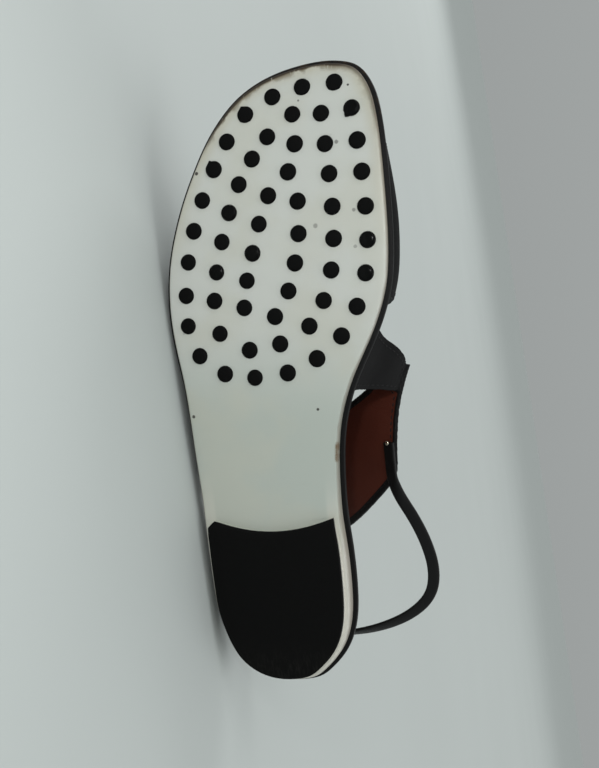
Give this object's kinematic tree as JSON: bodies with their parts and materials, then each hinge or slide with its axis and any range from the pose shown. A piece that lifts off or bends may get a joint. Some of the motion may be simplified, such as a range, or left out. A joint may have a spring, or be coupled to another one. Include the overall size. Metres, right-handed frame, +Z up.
{
  "type": "sandal",
  "caption": "Flat right sandal lying on its lateral side, with two wide bands, a thin buckled ankle strap, a white studded rubber sole and a low black heel piece.",
  "frame": {"origin": "centre of the bounding box's floor, with the shoe lying on its lateral side", "axes": "+X from the toe to the heel along the shoe's length, +Y from the tread to the top of the shoe, +Z up from the floor, lateral side down and medial side up"},
  "size_m": [0.26, 0.0712, 0.1057],
  "materials": {
    "white_rubber": "semi-gloss, scuffed along the toe",
    "black_rubber": "satin",
    "black_leather": "smooth, slight sheen",
    "brown_leather": "matt lining leather",
    "pale_metal": "polished, pale warm plating"
  },
  "bodies": {
    "root": {"outsole": "white_rubber", "stud_sheet": "black_rubber", "heel_lift": "black_rubber", "midsole": "black_leather", "insole": "brown_leather", "upper": "black_leather", "ankle_strap": "black_leather", "buckle_strap": "black_leather", "buckle_frame": "pale_metal", "buckle_prong": "pale_metal", "strap_keeper": "black_leather"}
  },
  "joints": []
}
